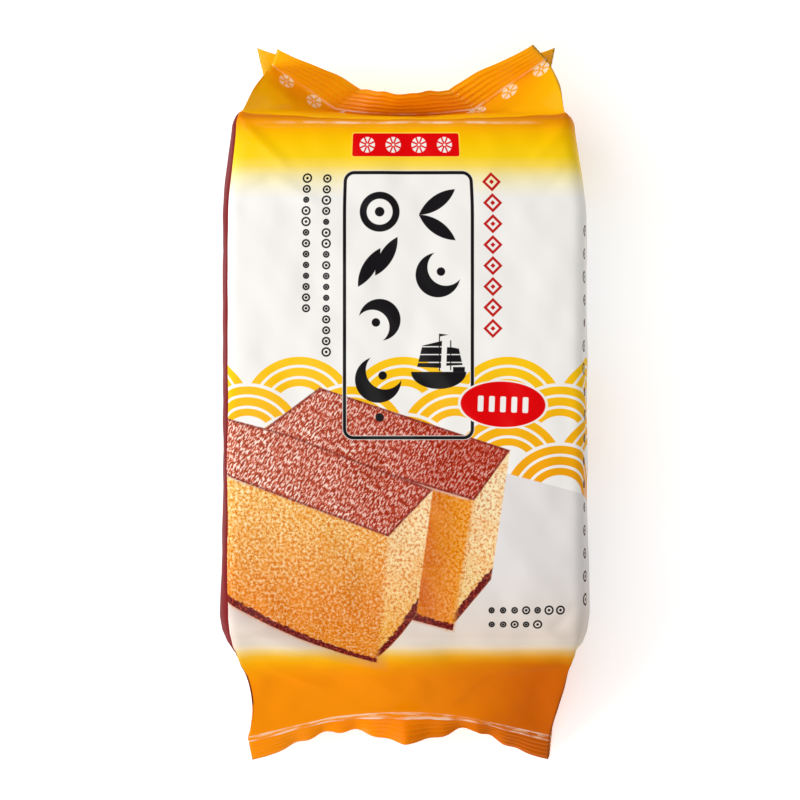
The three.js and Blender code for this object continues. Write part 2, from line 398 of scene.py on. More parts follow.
            # The crease's middle stands a little back from the corners.
            found[:, 1] = sign * (end["edge"] + found[:, 1])
            places = np.where(past[:, None], found, places)
        return places * np.stack([np.where(right, 1, -1), 0 * u + 1, 0 * u + 1], axis=1)

    def softness(self, v):
        s = self.s
        crease = np.where(v > 0, EARED_END["crease"], SLOPING_END["crease"])
        length = np.where(v > 0, EARED_END["film"], SLOPING_END["film"])
        past = np.abs(v) - s.block_length / 2
        body = 1 - smoothstep(past / length, 0, 0.6)
        seal = np.clip((length - past) / crease, 0, 1)
        ribbon = 1 - smoothstep(past - length, 0, s.seal_width * 0.9)
        return mix(0.3 * ribbon, s.edge_softness, body), crease * seal

    def soft(self, u, v):
        """The tube with its edges rounded, as the mean over a small patch of it."""
        soft_u, soft_v = self.softness(v)
        taps = np.linspace(-1, 1, 5)
        total = sum(self.sharp(u + a * soft_u, v + b * soft_v) for a in taps for b in taps)
        return total / len(taps) ** 2

    # The mesh's columns round the tube and its rows along it.

    def columns(self):
        """Places round the tube: an ear, the middle and an ear of a panel, then a side."""
        s = self.s
        ear = round(self.gusset / s.step)
        centre = round(2 * self.joined / s.step)
        turn = s.panel_width + s.thickness
        panel = [0.0, self.gusset, s.panel_width - self.gusset, s.panel_width]
        marks = [*panel, *(turn + mark for mark in panel), self.round]
        return spread(marks, 2 * (ear, centre, ear, 2 * ear))

    def rows(self):
        """Places along the tube, closest on the ribs and before the eared end's crease."""
        s = self.s
        half = s.block_length / 2
        low, high = half + SLOPING_END["film"], half + EARED_END["film"]
        marks = [-low - s.seal_width, -low, -half, half - CREASE_ROWS, half, high, high + s.seal_width]
        steps = [RIB_STEP, 0.8 * s.step, 1.05 * s.step, 0.45 * s.step, 0.65 * s.step, RIB_STEP]
        return spread(marks, [round((marks[i + 1] - marks[i]) / step) for i, step in enumerate(steps)])


# ---------------------------------------------------------------- meshes


def finish_piece(obj, material):
    obj.data.materials.append(material)
    for polygon in obj.data.polygons:
        polygon.use_smooth = True
    bpy.context.scene.collection.objects.link(obj)
    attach(obj, "root")


def film_mesh(film):
    """The film as a grid, moved into the tube's shape, with its flat place as a UV map."""
    around, along = film.columns(), film.rows()
    bm = bmesh.new()
    bmesh.ops.create_grid(bm, x_segments=len(around) - 1, y_segments=len(along) - 1, size=1)
    bm.verts.ensure_lookup_table()
    flat = np.array([v.co[:2] for v in bm.verts])
    column = np.rint((flat[:, 0] + 1) / 2 * (len(around) - 1)).astype(int)
    row = np.rint((flat[:, 1] + 1) / 2 * (len(along) - 1)).astype(int)
    u, v = around[column], along[row]
    places = centred(film.soft(u, v))
    uv_layer = bm.loops.layers.uv.new(FILM_MAP)
    map_u, map_v = ((at - low) / size for at, low, size in zip((u, v), MAP_START, MAP_SIZE))
    for vert, place in zip(bm.verts, places):
        vert.co = Vector(place) * MM
    for face in bm.faces:
        for loop in face.loops:
            i = loop.vert.index
            loop[uv_layer].uv = (map_u[i], map_v[i])
    bm.normal_update()
    for vert, out in zip(bm.verts, relief(u, v, film.s) * MM):
        vert.co += vert.normal * out
        vert.co.z = max(vert.co.z, cad_low.z)
    bmesh.ops.remove_doubles(bm, verts=bm.verts, dist=0.00001)
    mesh = bpy.data.meshes.new("pack_film")
    bm.to_mesh(mesh)
    bm.free()
    return mesh


# Soft creases: start and end as x, y on the flat front, height, and half width.
CREASES = (
    ((-46.0, 70.0), (-31.0, 57.5), 0.75, 1.2),
    ((-47.0, 53.0), (-37.0, 56.5), 0.75, 1.5),
    ((-37.0, 56.5), (-21.0, 47.0), 0.6, 1.6),
    ((-46.5, 47.0), (-26.0, 50.5), -0.35, 2.2),
    ((46.0, 69.0), (35.0, 60.0), 0.35, 1.4),
    ((47.0, 60.0), (38.0, 52.0), -0.3, 1.8),
    ((44.0, -70.0), (30.0, -61.0), 0.3, 1.8),
    ((47.0, -58.0), (38.0, -68.0), -0.35, 1.6),
    ((-46.0, -68.0), (-30.0, -62.0), 0.3, 1.8),
    ((-47.0, -52.0), (-38.0, -66.0), -0.3, 1.6),
    ((-20.0, 69.5), (6.0, 67.0), -0.22, 1.8),
    ((10.0, 69.0), (32.0, 66.5), 0.2, 1.6),
    ((-40.0, -80.0), (-22.0, -96.0), 0.35, 2.2),
    ((-30.0, -78.0), (-12.0, -100.0), -0.3, 2.6),
    ((2.0, -84.0), (6.0, -112.0), 0.3, 2.4),
    ((-42.0, 78.0), (-30.0, 96.0), 0.35, 1.6),
    ((43.0, 76.0), (30.0, 92.0), 0.45, 1.4),
)
FACET = ((23.0, -86.0), (47.0, -79.0), (15.0, -104.0))  # its corner and a place on each edge
FACET_DEPTH = 0.5
FACET_FADE = (40.0, 47.0)  # towards the ear, where the film is folded
RIDGES = ((70.8, 0.5, 0.7), (68.9, -0.4, 1.2))  # across the pack: v, height and half width
RIDGE_FADE = (38.0, 46.0)
WAVE_HEIGHT = 0.16
PLAIN_TOP = (94.0, 100.0)  # where the relief ends before a seal
PLAIN_LOW = (105.0, 114.0)


def panel_relief(u, v, shape):
    """Soft waves and creases of the film, in millimetres outwards."""
    turn = np.pi / (shape.panel_width + shape.thickness)
    wave = np.sin(11 * turn * u + 0.09 * v) * np.sin(0.12 * v + 1.1)
    wave += 0.7 * np.sin(17 * turn * u - 0.06 * v + 0.7) * np.sin(0.19 * v - 0.4)
    wave += 0.4 * np.sin(31 * turn * u + 0.21 * v) * np.sin(0.33 * v + 2.0)
    total = WAVE_HEIGHT * wave
    x = u - FRONT_MIDDLE
    for start, end, height, half in CREASES:
        run = np.subtract(end, start)
        length = np.hypot(*run)
        along = ((x - start[0]) * run[0] + (v - start[1]) * run[1]) / length
        across = ((x - start[0]) * run[1] - (v - start[1]) * run[0]) / length
        fade = smoothstep(along, -2, 0.25 * length) * (1 - smoothstep(along, 0.6 * length, length + 2))
        total += height * fade * np.exp(-(np.abs(across / half) ** 1.5))
    corner, first, second = (np.array(place) for place in FACET)
    inside = np.full(len(x), 1e3)
    for edge, sign in ((first, 1), (second, -1)):
        run = (edge - corner) / np.hypot(*(edge - corner))
        inside = np.minimum(inside, sign * ((x - corner[0]) * run[1] - (v - corner[1]) * run[0]))
    inside = np.where(x < FRONT_MIDDLE + 0.01, np.maximum(inside, 0), 0)
    total -= FACET_DEPTH * (1 - np.exp(-0.3 * inside / FACET_DEPTH)) * (1 - smoothstep(x, *FACET_FADE))
    from_middle = np.minimum(np.abs(x), np.abs(x - shape.panel_width - shape.thickness))
    for at, height, half in RIDGES:
        total += height * (1 - smoothstep(from_middle, *RIDGE_FADE)) * np.exp(-(((v - at) / half) ** 2))
    return total * (1 - smoothstep(v, *PLAIN_TOP)) * (1 - smoothstep(-v, *PLAIN_LOW))


def relief(u, v, shape):
    """The same for every point of the tube. Layers folded on each other move together."""
    width, turn = shape.panel_width, shape.panel_width + shape.thickness
    u = np.mod(u, 2 * turn)
    side = ((u > width) & (u < turn)) | (u > width + turn)
    down = np.where(u < turn, u - width, 2 * turn - u)
    front = down <= shape.thickness / 2
    from_edge = np.where(front, down, shape.thickness - down)
    length = np.where(v > 0, EARED_END["film"], SLOPING_END["film"])
    place = np.clip((np.abs(v) - shape.block_length / 2) / length, 0, 1)
    tucked = side & (from_edge <= shape.thickness / 2 * place)
    right_film = np.where(front, width - from_edge, turn + from_edge)
    left_film = np.where(front, from_edge, width + turn - from_edge)
    under = np.where(u < turn, right_film, left_film)
    total = panel_relief(np.where(tucked, under, u), v, shape)
    total = np.where(tucked, -total, total)
    return np.where(side & ~tucked & (place > 0), total * (1 - smoothstep(place, 0, 0.08)), total)


def centred(places):
    """Places moved so that the pack's box has its middle where the solid's has."""
    low, high = places.min(axis=0), places.max(axis=0)
    middle = np.array((cad_low + cad_high) / 2) / MM
    shift = middle - (low + high) / 2
    shift[2] = cad_low.z / MM - low[2]
    return places + shift


# ---------------------------------------------------------------- drawing with nodes


class Pen:
    """Writes shader nodes. A value is a socket or a plain number, tuple or colour."""

    def __init__(self, tree):
        self.tree = tree
        self.count = 0

    def node(self, kind, *values, output=0, **settings):
        node = self.tree.nodes.new(kind)
        node.location = (180 * (self.count % 30), -260 * (self.count // 30))
        self.count += 1
        for name, setting in settings.items():
            setattr(node, name, setting)
        for place, value in enumerate(values):
            if isinstance(value, bpy.types.NodeSocket):
                self.tree.links.new(value, node.inputs[place])
            elif value is not None:
                node.inputs[place].default_value = value
        return node.outputs[output]

    def math(self, operation, *values, clamp=False):
        return self.node("ShaderNodeMath", *values, operation=operation, use_clamp=clamp)

    def plus(self, first, second):
        return self.math("ADD", first, second)

    def minus(self, first, second):
        return self.math("SUBTRACT", first, second)

    def times(self, first, second):
        return self.math("MULTIPLY", first, second)

    def away(self, value, centre=None):
        """How far a value is from a centre, or from zero."""
        return self.math("ABSOLUTE", value if centre is None else self.minus(value, centre))

    def vector(self, operation, *values, output=0):
        return self.node("ShaderNodeVectorMath", *values, operation=operation, output=output)

    def length(self, vector):
        return self.vector("LENGTH", vector, output=1)

    def point(self, x, y, z=0.0):
        return self.node("ShaderNodeCombineXYZ", x, y, z)

    def split(self, vector):
        node = self.node("ShaderNodeSeparateXYZ", vector).node
        return node.outputs[0], node.outputs[1]

    def ramp(self, value, low, high, low_value=0.0, high_value=1.0):
        """A value that goes from low_value to high_value as value goes from low to high."""
        return self.node("ShaderNodeMapRange", value, low, high, low_value, high_value)

    def stops(self, value, stops, constant=False):
        """A colour ramp. Each stop is a place and a colour or a grey level."""
        output = self.node("ShaderNodeValToRGB", value)
        ramp = output.node.color_ramp
        ramp.interpolation = "CONSTANT" if constant else "LINEAR"
        for place, _ in stops[1:-1]:
            ramp.elements.new(place)
        ramp.elements[0].position, ramp.elements[-1].position = stops[0][0], stops[-1][0]
        for element, (place, level) in zip(ramp.elements, stops):
            element.position = place
            element.color = (*(3 * [level] if isinstance(level, int) else level), 1)
        return output

    def mix(self, share, first, second):
        """A colour: first where share is 0 and second where it is 1."""
        ends = [c if isinstance(c, bpy.types.NodeSocket) else (*c, 1) for c in (first, second)]
        return self.node(
            "ShaderNodeMix", share, *[None] * 5, *ends, output=2, data_type="RGBA", clamp_factor=True
        )

    def noise(self, spot, size, detail=2.0, roughness=0.5):
        """Soft grain between 0 and 1 whose lumps are about size millimetres across."""
        values = (spot, None, 1.0 / size, detail, roughness)
        return self.node("ShaderNodeTexNoise", *values, noise_dimensions="2D")

    def turned(self, place, degrees):
        """The place, turned anticlockwise about the film's normal."""
        values = (place, None, (0, 0, 1), math.radians(degrees))
        return self.node("ShaderNodeVectorRotate", *values, rotation_type="AXIS_ANGLE")


EDGE = 0.07  # millimetres over which an outline fades


class Picture(Pen):
    """Simple shapes on the flat film, in millimetres. A distance is negative inside a shape."""

    def __init__(self, tree, spot):
        super().__init__(tree)
        self.x, self.y = self.split(spot)
        self.spot = self.point(self.x, self.y, 1.0)

    def inside(self, distance, edge=EDGE):
        return self.math("MULTIPLY_ADD", distance, -0.5 / edge, 0.5, clamp=True)

    def paint(self, under, colour, distance, grow=0, edge=EDGE):
        """The picture so far, with a shape of another colour on it, grown by so much."""
        distance = self.minus(distance, grow) if grow else distance
        return self.mix(self.inside(distance, edge), under, colour)

    def largest(self, *distances):
        return functools.reduce(functools.partial(self.math, "MAXIMUM"), distances)

    def smallest(self, *distances):
        return functools.reduce(functools.partial(self.math, "MINIMUM"), distances)

    def strip(self, value, half, centre=None):
        """A strip on both sides of where value equals centre, or is zero."""
        return self.minus(self.away(value, centre), half)

    def beside(self, start, end):
        """Distance from a line, positive on its right looking from start to end."""
        run, rise = end[0] - start[0], end[1] - start[1]
        length = math.hypot(run, rise)
        across = (rise / length, -run / length)
        offset = across[0] * start[0] + across[1] * start[1]
        return self.vector("DOT_PRODUCT", self.spot, (*across, -offset), output=1)

    def polygon(self, points):
        """A convex shape, with its corners anticlockwise."""
        return self.largest(*[self.beside(*ends) for ends in zip(points, points[1:] + points[:1])])

    def seen_from(self, centre, turn=0.0):
        """The place measured from a centre, along axes turned anticlockwise by turn degrees."""
        moved = self.vector("SUBTRACT", self.spot, (*centre, 1.0))
        return self.turned(moved, -turn) if turn else moved

    def box(self, place, half, radius=0.0):
        """A rounded box about the place's zero."""
        flat = (half[0] - radius, half[1] - radius, 0)
        out = self.vector("SUBTRACT", self.vector("ABSOLUTE", place), flat)
        far = self.length(self.vector("MAXIMUM", out, (0, 0, 0)))
        x, y = self.split(out)
        near = self.math("MINIMUM", self.math("MAXIMUM", x, y), 0.0)
        return self.minus(self.plus(far, near), radius)

    def disc(self, place, radius):
        return self.minus(self.length(place), radius)

    def ellipse(self, place, axes):
        scaled = self.vector("DIVIDE", place, (*axes, 1.0))
        reach = self.minus(self.length(scaled), 1.0)
        return self.times(reach, min(axes))

    def leaf(self, place, length, width):
        """A pointed leaf along x, where two large discs meet."""
        radius = (length**2 + width**2) / (4 * width)
        x, y = self.split(place)
        folded = self.point(x, self.plus(self.away(y), radius - width / 2))
        return self.disc(folded, radius)

    def crescent(self, place, radius):
        bite = self.vector("SUBTRACT", place, (radius * 0.45, radius * 0.2, 0))
        hole = self.times(self.disc(bite, radius * 0.82), -1.0)
        return self.largest(self.disc(place, radius), hole)

    def rosette(self, place, radius, petals=6):
        """Wedge petals with narrow gaps round a dot."""
        x, y = self.split(place)
        half = math.pi / petals
        angle = self.math("WRAP", self.math("ARCTAN2", y, x), half, -half)
        from_gap = self.minus(half, self.away(angle))
        reach = self.length(place)
        gap = self.minus(radius * 0.11, self.times(from_gap, reach))
        rim = self.minus(reach, radius)
        heart = self.minus(radius * 0.3, reach)
        dot = self.minus(reach, radius * 0.16)
        return self.smallest(self.largest(gap, rim, heart), dot)

    def repeated(self, value, pitch):
        """The value measured from the nearest of many lines that are one pitch apart."""
        return self.math("WRAP", value, pitch / 2, -pitch / 2)

    def beads(self, centre, length, width, pitch, upright=True, stroke=0.48):
        """A row of rings and dots of several sizes, in place of small print."""
        x, y = self.split(self.seen_from(centre))
        along, across = (y, x) if upright else (x, y)
        cell = self.math("FLOOR", self.plus(self.math("DIVIDE", along, pitch), 0.5))
        chance = self.node("ShaderNodeTexWhiteNoise", None, cell, noise_dimensions="1D")
        reach = self.length(self.point(self.repeated(along, pitch), across))
        radius = self.ramp(chance, 0, 1, 0.24 * width, 0.44 * width)
        ring = self.strip(reach, stroke / 2, radius)
        dot = self.minus(reach, stroke * 0.8)
        return self.largest(self.smallest(ring, dot), self.strip(along, length / 2))


# ---------------------------------------------------------------- the print

# Places on the front: x from the panel's middle, y from the middle of the block.
BORDER = {"centre": (0.9, 21.4), "half": (17.55, 35.9), "radius": 2.8, "line": 0.91, "key": 0.12}
WAVE_START = (-0.4, -7.6)  # centre of a wave in the upper row
WAVE_ROWS = 4
WAVE_RIM = 1.06  # a wave with its white rim, as a part of its radius
TABLE_EDGE = ((48.2, -29.2), (27.3, -23.6))
BAR = {"centre": (0.3, 64.3), "half": (14.9, 3.1)}
BADGE = {"centre": (26.2, -5.1), "axes": (11.4, 6.1), "turn": -2}
FLOWER_ROW = (44.3, 99.2)
FLOWERS_FROM = 17.0  # how far the rosettes keep from the middle
OVER_LEFT = 0.9  # how far the front's print runs over the left long edge
OVER_RIGHT = 0.4

# Lines across the film, as y, that carry painted highlights: where each seal is pinched and
# the crease before the eared end; and the band of painted shade just beyond the crease.
EARED_PINCH = 102.0
SLOPING_PINCH = -116.0
TOP_CREASE = 70.2
CREASE_SHADE_LINE = 71.5

# Bold marks inside the border: leaves have a turn, and crescents a turn and a radius.
LEAVES = (((8.6, 49.0), 35), ((8.6, 42.2), -35), ((-5.0, 34.5), 60), ((-9.6, 31.5), 60))
CRESCENTS = (((8.8, 29.5), 20, 6.0), ((-6.8, 17.5), 200, 5.6), ((-7.2, 1.5), 30, 6.2))
RING = (-6.8, 46.4)
DOTS = ((9.6, 30.4), (-7.8, 16.8), (-6.0, 2.6), (-6.8, -8.6))

# Rows of beads: centre, length, pitch and whether they run up the pack.
BEAD_ROWS = (
    ((-21.1, 32.1), 49.3, 2.9, True),
    ((-26.5, 38.0), 37.7, 2.9, True),
    ((32.6, -60.2), 21.7, 3.1, False),
    ((29.6, -64.1), 15.5, 3.1, False),
)
BEAD_WIDTH = 2.5
LOZENGES = {"x": 23.5, "top": 54.4, "pitch": 5.6, "middle": 34.8, "half": 22.4}
SIDE_BEADS = {"under_edge": 3.0, "y": -8.0, "length": 105.4, "width": 3.4, "pitch": 6.2}
# The side panel's film where it turns outwards beside the lower left ear
LIP = [(-49.0, -72.0), (-49.0, -98.0), (-46.9, -98.0), (-46.0, -84.0)]

THIN_CRUST = 1.9  # under the cake
# Each slice: the corners of its top crust, anticlockwise from the nearest, and how its
# left, nearest and right-hand upright edges run down.
REAR_SLICE = {
    "top": [(18.5, -30.8), (28.1, -17.4), (-22.9, -0.6), (-40.0, -13.4)],
    "down_left": (-5.6, -35.2),
    "down": (-5.6, -35.2),
    "down_right": (-5.1, -34.6),
}
FRONT_SLICE = {
    "top": [(-4.5, -40.5), (7.4, -28.0), (-31.0, -13.2), (-58.0, -6.3), (-60.0, -19.7)],
    "down_left": (-4.1, -30.3),
    "down": (-3.3, -38.8),
    "down_right": (-4.3, -33.0),
}


def field(pic, ink):
    """White, turning yellow and then amber towards both ends, with painted shade in places: darker orange
    at the top crease, greyer where the front bends over the sloping end, and deeper on the sloping end's
    right.
    """
    top = [(0.0, ink.white), (0.14, srgb(248, 240, 208)), (0.25, ink.pale_yellow)]
    top += [(0.37, srgb(252, 219, 88)), (0.48, ink.yellow), (0.64, srgb(254, 200, 2))]
    # The two darker oranges just before the amber are partly the print's deeper orange and partly painted
    # shade where the film bends over the top crease.
    top += [(0.78, srgb(253, 184, 2)), (0.87, srgb(244, 158, 3)), (0.97, srgb(232, 138, 4))]
    top += [(1.0, ink.amber)]
    # The greyish beige first stops are partly painted shade where the front bends over the sloping end.
    low = [(0.0, ink.white), (0.19, srgb(232, 218, 200)), (0.265, srgb(240, 218, 182))]
    low += [(0.33, srgb(243, 206, 124)), (0.435, srgb(246, 184, 44)), (0.557, srgb(252, 172, 6))]
    low += [(0.726, srgb(252, 156, 2)), (1.0, ink.deep_amber)]
    top = pic.stops(pic.ramp(pic.y, 50.3, 73), top)
    ribbon = pic.mix(pic.ramp(pic.away(pic.x), 18, 25), srgb(252, 162, 6), srgb(254, 186, 18))
    top = pic.mix(pic.ramp(pic.y, 94, 102), top, ribbon)
    low = pic.stops(pic.ramp(pic.y, -66, -89), low)
    # Painted shade: deeper on the right, where the sloping end turns away from the light
    turned = pic.times(pic.ramp(pic.x, -12, 36, 0.0, 0.85), pic.math("LESS_THAN", pic.x, 48.0))
    low = pic.mix(pic.times(turned, pic.ramp(pic.y, -71, -80)), low, srgb(198, 85, 2))
    return pic.mix(pic.math("LESS_THAN", pic.y, 0.0), top, low)


def painted_highlights_and_shade(pic, colour):
    """Painted highlights: fine pale lines where the film is pinched, at the top crease and along both
    seals, with a patchy painted glare beside the sloping seal; and a band of painted shade just beyond the
    top crease.
    """
    stretched = pic.vector("MULTIPLY", pic.spot, (0.2, 1.0, 1.0))
    patchy = pic.ramp(pic.noise(stretched, 1.3), 0.36, 0.62, 0.1, 1.0)
    band = pic.away(pic.y, SLOPING_PINCH)
    seals = pic.smallest(pic.strip(pic.y, 0.3, EARED_PINCH), pic.strip(band, 0.2, 1.0))
    # Painted highlight: patchy glare just beside the sloping end's pinched seal line
    glare = pic.times(pic.inside(pic.minus(band, 1.0), 0.3), pic.ramp(patchy, 0.5, 1, 0, 0.45))
    colour = pic.mix(glare, colour, srgb(255, 226, 186))
    # Painted highlight: a pale line along the top crease, fading towards the long edges
    crease = pic.inside(pic.strip(pic.y, 0.18, TOP_CREASE), 0.2)
    crease = pic.times(crease, pic.ramp(pic.away(pic.x), 40, 24))
    lines = pic.largest(pic.inside(seals, 0.2), crease)
    # Painted shade: a darker band just beyond the top crease, where the film falls away
    beyond = pic.inside(pic.strip(pic.y, 0.5, CREASE_SHADE_LINE), 0.6)
    colour = pic.mix(pic.times(beyond, 0.7), colour, srgb(206, 104, 4))
    return pic.mix(pic.times(lines, pic.times(patchy, 0.75)), colour, srgb(255, 240, 222))


def waves(pic, ink):
    """Rows of overlapping round waves: how far a place is amber, and where there are waves."""
    edge = ink.wave_radius * WAVE_RIM
    rings = [(0, 0), (0.457, 1), (0.577, 0), (0.625, 1), (0.762, 0), (0.811, 1), (0.944, 0)]
    amber, covered = 0.0, 0.0
    for row in range(WAVE_ROWS):
        shift = (row % 2) * ink.wave_pitch / 2
        across = pic.repeated(pic.minus(pic.x, WAVE_START[0] + shift), ink.wave_pitch)
        up = pic.minus(pic.y, WAVE_START[1] - row * ink.row_pitch)
        reach = pic.length(pic.point(across, up))
        ring = pic.stops(pic.math("DIVIDE", reach, edge), rings, constant=True)
        here = pic.inside(pic.minus(reach, edge))
        amber = pic.node("ShaderNodeMix", here, None, amber, ring) if row else ring
        covered = pic.largest(covered, here)
    return amber, covered


def crumb(pic, pale, deep, shade, grains):
    """Fine open crumb between two colours, with paler and darker grains."""
    base = pic.mix(shade, pale, deep)
    grain = pic.noise(pic.spot, 0.8, 3.0, 0.7)
    light = pic.times(pic.ramp(grain, 0.51, 0.64), pic.ramp(shade, 0, 1, grains, grains / 2))
    base = pic.mix(light, base, srgb(255, 242, 200))
    base = pic.mix(pic.times(pic.ramp(grain, 0.48, 0.38), 0.8), base, srgb(206, 94, 2))
    patches = pic.ramp(pic.noise(pic.spot, 6.0, 2.0), 0.45, 0.75, 0.0, 0.35)
    return pic.mix(patches, base, srgb(238, 150, 40))


def top_crust(pic, ink):
    """Reddish brown crust with fine wrinkles, paler towards the left."""
    stretched = pic.vector("MULTIPLY", pic.turned(pic.spot, 32), (1.0, 0.42, 1.0))
    grain = pic.noise(stretched, 0.5, 2.0, 0.6)
    patches = pic.ramp(pic.noise(pic.spot, 7.0, 1.0), 0.3, 0.7, 0.7, 1.15)
    amount = pic.times(pic.ramp(pic.x, -46, 20, 1.0, 0.36), patches)
    shine = pic.times(pic.ramp(grain, 0.525, 0.6), amount)
    dull = pic.times(pic.ramp(grain, 0.5, 0.4), 0.75)
    base = pic.mix(pic.ramp(pic.x, -46, 10), srgb(214, 106, 72), ink.crust)
    return pic.mix(shine, pic.mix(dull, base, srgb(132, 22, 6)), ink.crust_shine)


def moved(point, by):
    return (point[0] + by[0], point[1] + by[1])


def cake_slice(pic, ink, colour, slice_shape, front_face, end_face):
    """One pictured slice of cake: two cut faces, the top crust and the thin crust below."""
    top, down_left, down, down_right = slice_shape.values()
    near, right, left = top[0], top[1], top[-1]
    front = [left, moved(left, down_left), moved(near, down), near]
    # The end face runs on a little under the front one's soft edge.
    under = moved(near, (-1.6, 0.0))
    end = [under, moved(under, down), moved(right, down_right), right]
    rough = pic.times(pic.minus(pic.noise(pic.spot, 1.3, 2.0), 0.5), 1.5)
    for corners, base, shade, grains, soft in ((end, *end_face, 0.15), (front, *front_face, 0.8)):
        face = pic.polygon(corners)
        colour = pic.paint(colour, crumb(pic, *base, shade, grains), face, edge=soft)
        rise = pic.times(pic.beside(*corners[1:3]), -1.0)
        thin = pic.plus(pic.minus(rise, THIN_CRUST), rough)
        burnt = pic.ramp(pic.noise(pic.spot, 0.7), 0.5, 0.7)
        burnt = pic.mix(burnt, ink.base_crust, srgb(176, 64, 44))
        colour = pic.paint(colour, burnt, pic.largest(face, thin), edge=0.15)
    crust = pic.polygon(top)
    rim = pic.inside(pic.strip(crust, 0.28, -0.3), 0.2)
    colour = pic.paint(colour, top_crust(pic, ink), crust, edge=0.1)
    return pic.mix(pic.times(rim, 0.75), colour, srgb(122, 30, 20))


def cakes(pic, ink, colour):
    """Two thick slices of sponge cake, one behind the other, and their soft shadow."""
    near, far = FRONT_SLICE["top"][0], FRONT_SLICE["top"][-1]
    under = pic.beside(moved(far, FRONT_SLICE["down_left"]), moved(near, FRONT_SLICE["down"]))
    shadow = pic.times(pic.ramp(under, 5.0, 0.0), pic.inside(pic.plus(pic.y, 45.0)))
    left_only = pic.ramp(pic.x, -4.0, -9.0, 0.0, 0.4)
    colour = pic.mix(pic.times(shadow, left_only), colour, srgb(176, 132, 118))
    # A face has a pale and a deep colour, where it is deep, and how many pale grains.
    depth = pic.ramp(pic.y, -26, -66)
    rear_end = (ink.crumb_cream, srgb(244, 196, 106)), depth, 0.8
    rear_front = (srgb(240, 150, 4), srgb(212, 104, 24)), pic.ramp(pic.x, 15, 5), 0.25
    colour = cake_slice(pic, ink, colour, REAR_SLICE, rear_front, rear_end)
    near_end = (ink.crumb_cream, srgb(242, 176, 70)), depth, 0.85
    near_front = (ink.crumb_pale, ink.crumb_deep), pic.ramp(pic.y, -28, -58), 0.85
    return cake_slice(pic, ink, colour, FRONT_SLICE, near_front, near_end)


def border_box(pic):
    return pic.box(pic.seen_from(BORDER["centre"]), BORDER["half"], BORDER["radius"])


def border(pic, ink, colour):
    """The thin black border with a pale line on both sides."""
    half = BORDER["line"] / 2
    band = pic.away(border_box(pic), -half)
    colour = pic.paint(colour, ink.white, band, half + BORDER["key"])
    return pic.paint(colour, ink.black, band, half)


def large_marks(pic):
    """Bold leaves, crescents, a ring and dots down two columns inside the border."""
    shapes = [pic.leaf(pic.seen_from(centre, turn), 12.0, 3.6) for centre, turn in LEAVES]
    shapes += [pic.crescent(pic.seen_from(centre, turn), radius) for centre, turn, radius in CRESCENTS]
    shapes.append(pic.strip(pic.disc(pic.seen_from(RING), 4.4), 0.95))
    shapes.append(pic.disc(pic.seen_from(RING), 1.3))
    shapes += [pic.disc(pic.seen_from(centre), 1.15) for centre in DOTS]
    return pic.smallest(*shapes)


def boat(pic):
    """A plain boat: a hull, two sails in panels, two masts and a pennant."""
    deck = pic.seen_from((9.0, 3.6))
    hull = pic.largest(pic.ellipse(deck, (7.4, 4.6)), pic.split(deck)[1])
    step = pic.box(pic.seen_from((14.4, 4.2)), (1.6, 0.7))
    sail = pic.polygon([(3.2, 4.9), (9.6, 4.6), (9.9, 11.9), (4.6, 10.6)])
    small_sail = pic.polygon([(11.0, 5.2), (15.4, 5.4), (14.4, 9.8), (11.2, 10.4)])
    seams = pic.minus(0.13, pic.away(pic.repeated(pic.plus(pic.y, 0.2), 2.1)))
    sails = pic.largest(pic.smallest(sail, small_sail), seams)
    places = (((9.2, 8.8), 5.0), ((12.2, 8.0), 4.0))
    masts = [pic.box(pic.seen_from(middle), (0.16, half)) for middle, half in places]
    pennant = pic.polygon([(9.3, 13.0), (11.6, 13.5), (9.3, 13.8)])
    return pic.smallest(hull, step, sails, pennant, *masts)


def lozenges(pic):
    """A column of lozenges, each with a smaller one inside."""
    up = pic.repeated(pic.minus(pic.y, LOZENGES["top"]), LOZENGES["pitch"])
    reach = pic.plus(pic.away(up), pic.away(pic.x, LOZENGES["x"]))
    shapes = pic.smallest(pic.strip(reach, 0.5, 2.1), pic.minus(reach, 0.7))
    return pic.largest(shapes, pic.strip(pic.y, LOZENGES["half"], LOZENGES["middle"]))


def badge(pic, ink, colour):
    """The red oval with five bars."""
    place = pic.seen_from(BADGE["centre"], BADGE["turn"])
    oval = pic.ellipse(place, BADGE["axes"])
    colour = pic.paint(colour, ink.white, oval, 0.35)
    colour = pic.paint(colour, ink.red, oval)
    x, y = pic.split(place)
    bars = pic.box(pic.point(pic.repeated(x, 3.0), y), (0.75, 2.1), 0.4)
    return pic.paint(colour, ink.white, pic.largest(bars, pic.strip(x, 7.5)))


def top_bar(pic, ink, colour):
    """The red bar with a row of rosettes."""
    place = pic.seen_from(BAR["centre"])
    bar = pic.box(place, BAR["half"], 0.6)
    colour = pic.paint(colour, srgb(255, 214, 70), bar, 0.3)
    colour = pic.paint(colour, ink.red, bar)
    x, y = pic.split(place)
    flowers = pic.rosette(pic.point(pic.repeated(pic.plus(x, 3.6), 7.2), y), 2.1, 8)
    return pic.paint(colour, ink.white, pic.largest(flowers, pic.strip(x, 14.0)))


def background(pic, ink):
    """What runs on round the film: the fades, the waves and the pale table below them."""
    colour = pic.paint(field(pic, ink), ink.white, border_box(pic))
    amber, covered = waves(pic, ink)
    wave = pic.mix(pic.ramp(pic.y, 8, -30), ink.wave_top, ink.wave_low)
    colour = pic.mix(covered, colour, pic.mix(amber, ink.white, wave))
    cloth = pic.mix(pic.ramp(pic.y, -50, -70), ink.table, srgb(228, 211, 196))
    cloth = pic.mix(pic.inside(pic.plus(pic.y, 70.0), 2.0), cloth, colour)
    table = pic.inside(pic.beside(*TABLE_EDGE), 0.1)
    table = pic.times(table, pic.inside(pic.plus(pic.y, 20.0)))
    table = pic.largest(table, pic.inside(pic.plus(pic.y, 36.0)))
    return pic.mix(table, colour, cloth)


